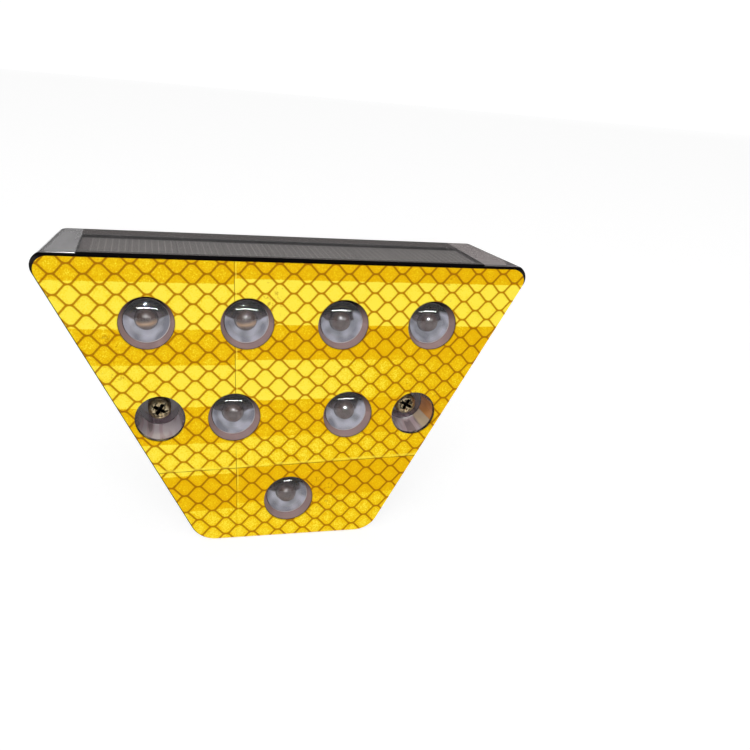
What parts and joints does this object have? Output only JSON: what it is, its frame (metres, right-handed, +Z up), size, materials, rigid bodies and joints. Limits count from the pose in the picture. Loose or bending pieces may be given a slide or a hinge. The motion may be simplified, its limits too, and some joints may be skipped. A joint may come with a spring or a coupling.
{
  "type": "solar guardrail delineator lamp",
  "caption": "Trapezoidal solar delineator lamp: clear housing with reflective film and round lenses, solar panel under the top, clear back cover and a bent steel fixing foot.",
  "frame": {"origin": "centre of the bracket's bolt hole, on the underside of the flange, which is level with the housing's bottom", "axes": "+X to the right seen from the front, across the lamp; +Y from the reflective front to the back; +Z up, along the bolt hole"},
  "size_m": [0.1174, 0.0664, 0.0737],
  "materials": {
    "clear_plastic": "clear moulded polycarbonate, polished",
    "reflective_film": "yellow prismatic retroreflective sheet",
    "grey_plastic": "moulded, fine texture",
    "black_rubber": "silicone bead",
    "sealant": "mottled cured sealant",
    "galvanised_steel": "zinc-coated sheet, light smudges",
    "plated_screw": "yellow zinc plate",
    "board_green": "glass-fibre board with solder mask",
    "tinned_metal": "tinned",
    "black_part": "moulded epoxy",
    "ferrite": "sintered",
    "copper_wire": "enamelled",
    "aluminium_can": "drawn can",
    "battery_wrap": "laminate pouch",
    "foam_tape": "soft foam tape",
    "red_wire": "insulated wire",
    "black_wire": "insulated wire",
    "panel_board": "glass-fibre board",
    "solar_cell": "dark silicon with fine finger lines",
    "clear_encapsulant": "clear resin",
    "clear_lens": "clear moulded lens, polished",
    "led_resin": "clear epoxy"
  },
  "bodies": {
    "root": {"housing": "clear_plastic", "reflective_film": "reflective_film", "back_plate": "grey_plastic", "perimeter_seal": "black_rubber", "rear_cover": "clear_plastic", "rear_sealant": "sealant", "mounting_bracket": "galvanised_steel", "clamp_screws": "plated_screw", "clamp_nuts": "plated_screw", "circuit_board": "board_green", "board_screws": "plated_screw", "led_leads": "tinned_metal", "led_resistors": "black_part", "controller_chip": "black_part", "charge_inductor": "ferrite", "inductor_winding": "copper_wire", "filter_capacitor": "aluminium_can", "blocking_diode": "black_part", "battery_cell": "battery_wrap", "battery_pad": "foam_tape", "battery_wire_red": "red_wire", "battery_wire_black": "black_wire", "panel_board": "panel_board", "cell_ribbons": "tinned_metal", "panel_cells": "solar_cell", "panel_encapsulant": "clear_encapsulant", "panel_wire_red": "red_wire", "panel_wire_black": "black_wire", "lens_1": "clear_lens", "lens_2": "clear_lens", "lens_3": "clear_lens", "lens_4": "clear_lens", "lens_5": "clear_lens", "lens_6": "clear_lens", "lens_7": "clear_lens", "led_1": "led_resin", "led_2": "led_resin", "led_3": "led_resin", "led_4": "led_resin", "led_5": "led_resin", "led_6": "led_resin", "led_7": "led_resin"}
  },
  "joints": []
}
